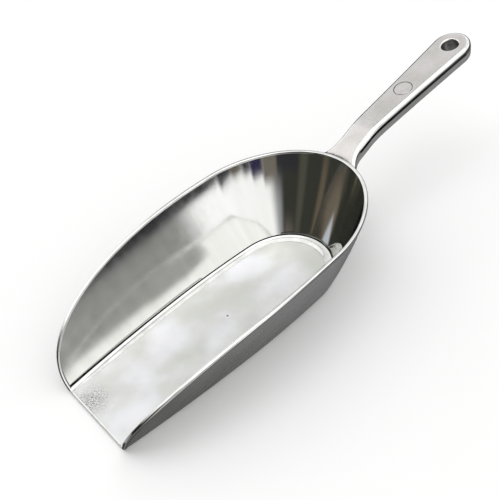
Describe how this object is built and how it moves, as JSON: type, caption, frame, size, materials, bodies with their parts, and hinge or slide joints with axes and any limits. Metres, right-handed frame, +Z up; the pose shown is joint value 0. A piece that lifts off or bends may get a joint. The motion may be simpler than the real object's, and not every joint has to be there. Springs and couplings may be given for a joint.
{
  "type": "ice scoop",
  "caption": "Flat-bottomed aluminium ice scoop with flared walls sweeping down to a straight pouring lip, a rounded rim and a solid upswept handle with a hanging hole.",
  "frame": {"origin": "centre of the bounding box in X and Y, on the plane the flat underside rests on", "axes": "+Z up, +Y from the pouring lip toward the handle's tip, X across, symmetric about X = 0"},
  "size_m": [0.1266, 0.33, 0.0768],
  "materials": {
    "satin_aluminium": "cast, satin",
    "polished_aluminium": "cast, polished",
    "brushed_aluminium": "cast, fine satin"
  },
  "bodies": {
    "root": {"bowl_floor": "satin_aluminium", "corner_band": "polished_aluminium", "bowl_wall": "polished_aluminium", "rim_bead": "polished_aluminium", "handle": "brushed_aluminium", "handle_mark": "brushed_aluminium"}
  },
  "joints": []
}
